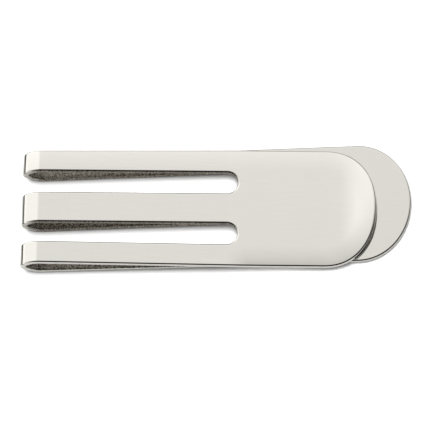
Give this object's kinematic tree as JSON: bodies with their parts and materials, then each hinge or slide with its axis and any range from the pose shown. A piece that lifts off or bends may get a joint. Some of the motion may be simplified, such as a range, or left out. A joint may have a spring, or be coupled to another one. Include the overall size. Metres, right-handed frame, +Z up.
{
  "type": "money clip",
  "caption": "Slotted money clip of folded polished steel strip: a sprung front leaf with an upturned lip grips banknotes against a longer round-ended back leaf.",
  "frame": {"origin": "on the resting plane, under the middle of the whole clip", "axes": "+X along the clip from the fold to the open tips, +Y across its width, +Z up, away from the back leaf's underside"},
  "size_m": [0.0564, 0.0188, 0.005],
  "materials": {
    "polished_steel": "polished stainless steel, warm grey, with faint brush marks along the strip"
  },
  "bodies": {
    "back_leaf": {"back_plate": "polished_steel", "back_left_finger": "polished_steel", "back_middle_finger": "polished_steel", "back_right_finger": "polished_steel"},
    "fold": {"left_fold": "polished_steel", "middle_fold": "polished_steel", "right_fold": "polished_steel"},
    "front_leaf": {"front_plate": "polished_steel", "front_left_finger": "polished_steel", "front_middle_finger": "polished_steel", "front_right_finger": "polished_steel"}
  },
  "joints": [
    {"name": "fold_opening", "type": "hinge", "parent": "back_leaf", "child": "fold", "pos_m": [-0.02574, 0, 0], "axis": [0, -1, 0], "range_deg": [0, 4.5], "stiffness_Nm_per_rad": 0.2},
    {"name": "leaf_opening", "type": "hinge", "parent": "fold", "child": "front_leaf", "pos_m": [-0.02556, 0, 0.00499], "axis": [0, -1, 0], "range_deg": [0, 4.5], "stiffness_Nm_per_rad": 0.2}
  ],
  "couplings": [
    {"joint": "fold_opening", "follows": "leaf_opening", "ratio": 1}
  ]
}
